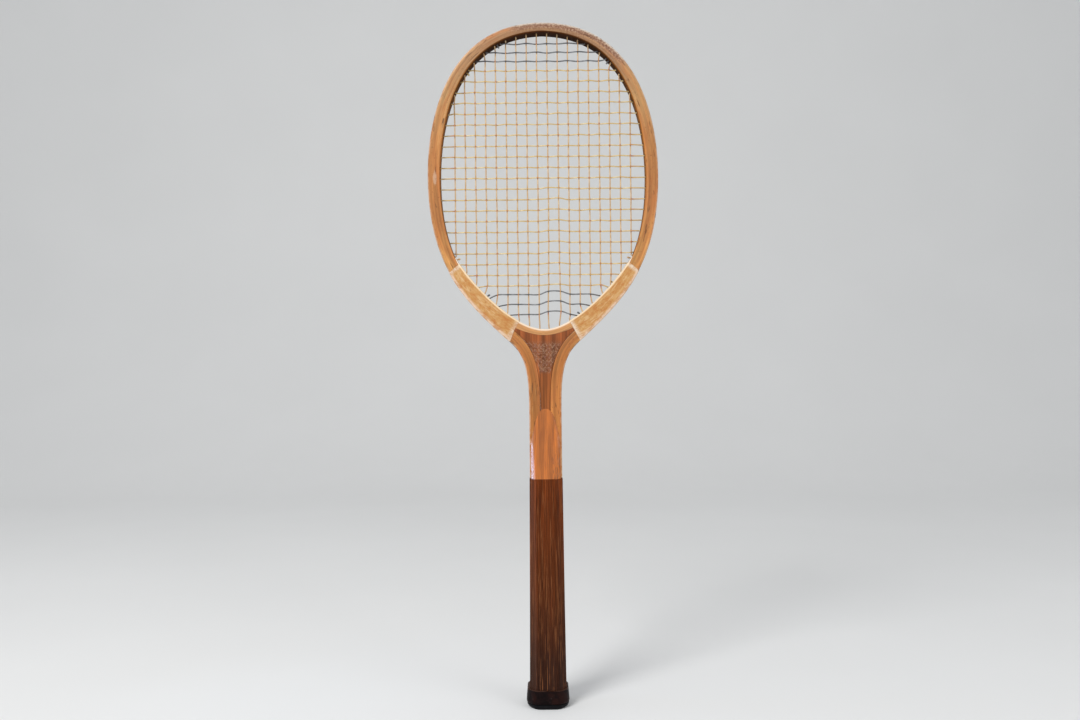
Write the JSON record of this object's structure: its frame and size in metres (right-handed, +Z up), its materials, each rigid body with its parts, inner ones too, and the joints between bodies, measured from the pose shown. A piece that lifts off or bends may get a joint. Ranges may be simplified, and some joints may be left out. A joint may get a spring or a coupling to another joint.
{
  "type": "wooden tennis racket",
  "caption": "Old wooden tennis racket: bent ash hoop strung with gut, mahogany throat wedge, vellum-bound shoulders, combed wooden grip and leather-banded butt.",
  "frame": {"origin": "centre of the butt cap's flat lower face, on which the racket can stand", "axes": "+Z runs up the handle to the crown, +X goes across the head, and the front playing face looks along -Y"},
  "size_m": [0.2314, 0.0378, 0.686],
  "materials": {
    "hoop_ash": "varnished ash with its grain along the bend",
    "bow_ash": "varnished ash",
    "mahogany": "varnished mahogany, bare of any decal",
    "filler_ash": "bare ash",
    "slip_ash": "orange varnished ash",
    "combed_wood": "dark stained wood with fine combed lines",
    "butt_wood": "dark stained wood",
    "band_leather": "worn nearly black leather",
    "tack_brass": "dull brass",
    "vellum": "thin varnished vellum",
    "natural_gut": "straw-coloured twisted gut",
    "dark_gut": "dark twisted gut"
  },
  "bodies": {
    "root": {"ash_bend": "hoop_ash", "throat_bow": "bow_ash", "throat_wedge": "mahogany", "handle_filler": "filler_ash", "shaft_front_overlay": "slip_ash", "shaft_back_overlay": "slip_ash", "grip_front_slab": "combed_wood", "grip_back_slab": "combed_wood", "grip_left_cheek": "combed_wood", "grip_right_cheek": "combed_wood", "butt_cap": "butt_wood", "butt_leather_band": "band_leather", "band_tack_1": "tack_brass", "band_tack_2": "tack_brass", "band_tack_3": "tack_brass", "shoulder_wrap_left": "vellum", "shoulder_wrap_right": "vellum", "main_string": "natural_gut", "cross_string": "natural_gut", "crown_trebling": "dark_gut", "throat_trebling": "dark_gut"}
  },
  "joints": []
}
